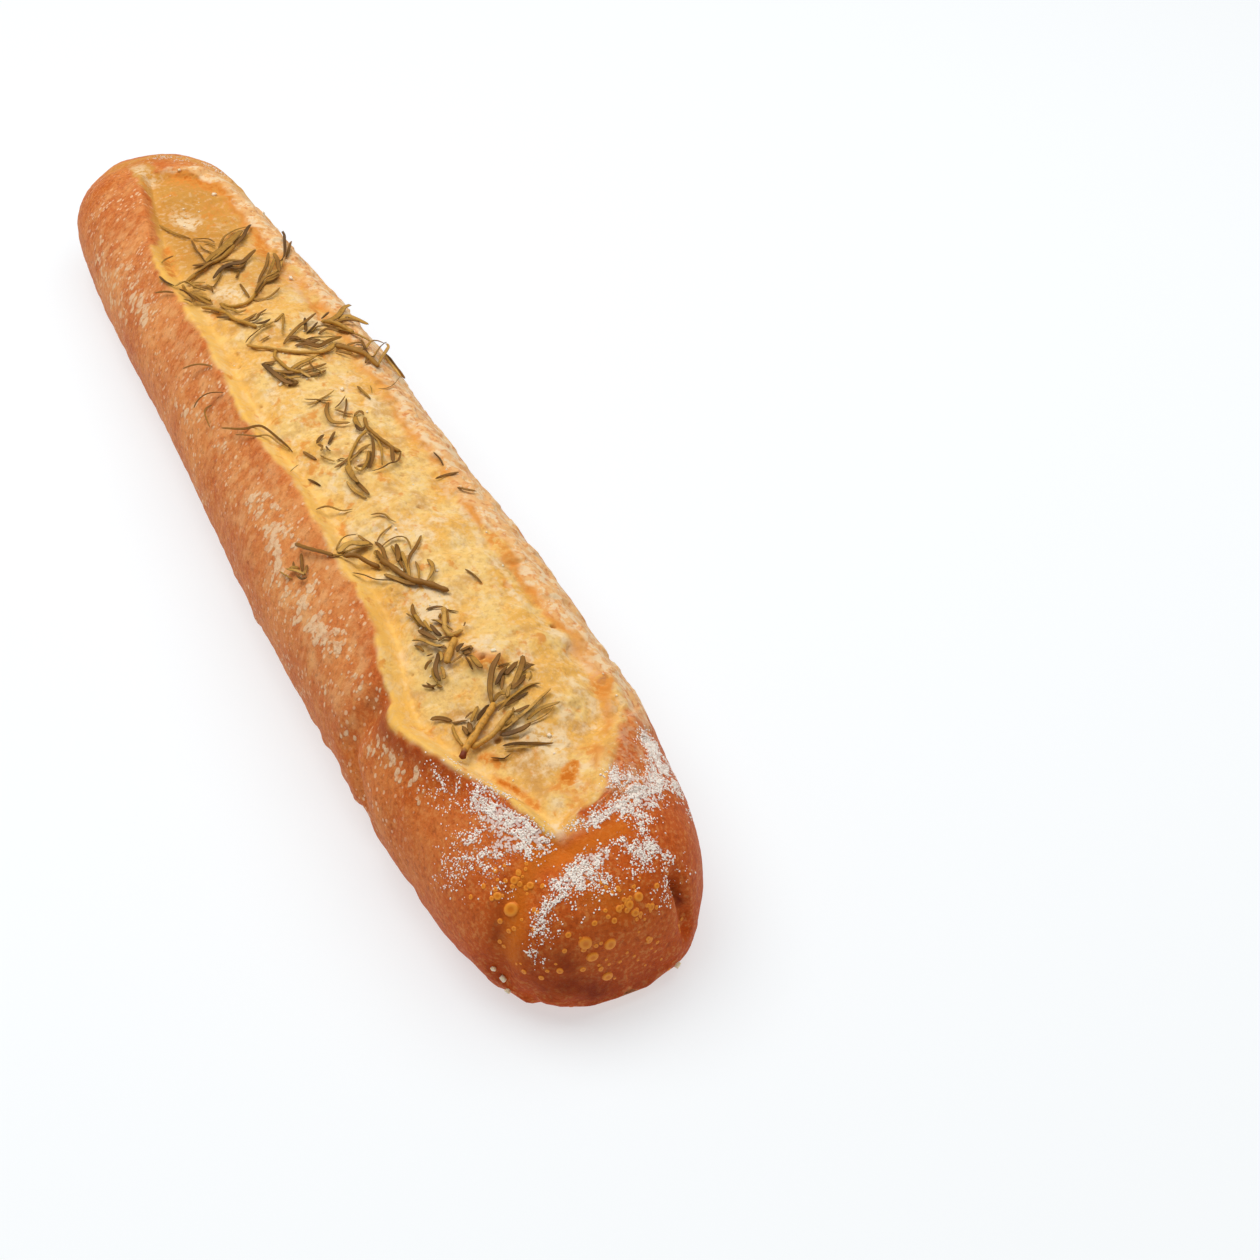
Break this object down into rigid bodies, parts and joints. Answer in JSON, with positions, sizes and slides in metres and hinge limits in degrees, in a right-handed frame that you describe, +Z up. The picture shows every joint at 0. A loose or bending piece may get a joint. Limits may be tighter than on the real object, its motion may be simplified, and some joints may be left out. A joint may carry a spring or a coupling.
{
  "type": "baguette",
  "caption": "Rosemary baguette, opened lengthwise along its top, with a raised crust lip, sunken crumb, dried rosemary sprigs and coarse salt.",
  "frame": {"origin": "middle of the underside, where the loaf rests", "axes": "+X along the loaf towards its floured end, -Y towards the raised lip of the cut, +Z up"},
  "size_m": [0.45, 0.085, 0.0567],
  "materials": {
    "crust": "baked golden-brown crust, dry satin, dusted with flour",
    "crumb": "open pale yellow crumb, matt and porous, toasted in places",
    "rosemary": "dried olive-brown needles and woody stems, dull",
    "flour": "loose white flour, powdery",
    "salt": "coarse salt crystals, translucent white"
  },
  "bodies": {
    "root": {"loaf": "crust", "rosemary_sprig_01": "rosemary", "rosemary_sprig_02": "rosemary", "rosemary_sprig_03": "rosemary", "rosemary_sprig_04": "rosemary", "rosemary_sprig_05": "rosemary", "rosemary_sprig_06": "rosemary", "rosemary_sprig_07": "rosemary", "rosemary_sprig_08": "rosemary", "rosemary_sprig_09": "rosemary"}
  },
  "joints": []
}
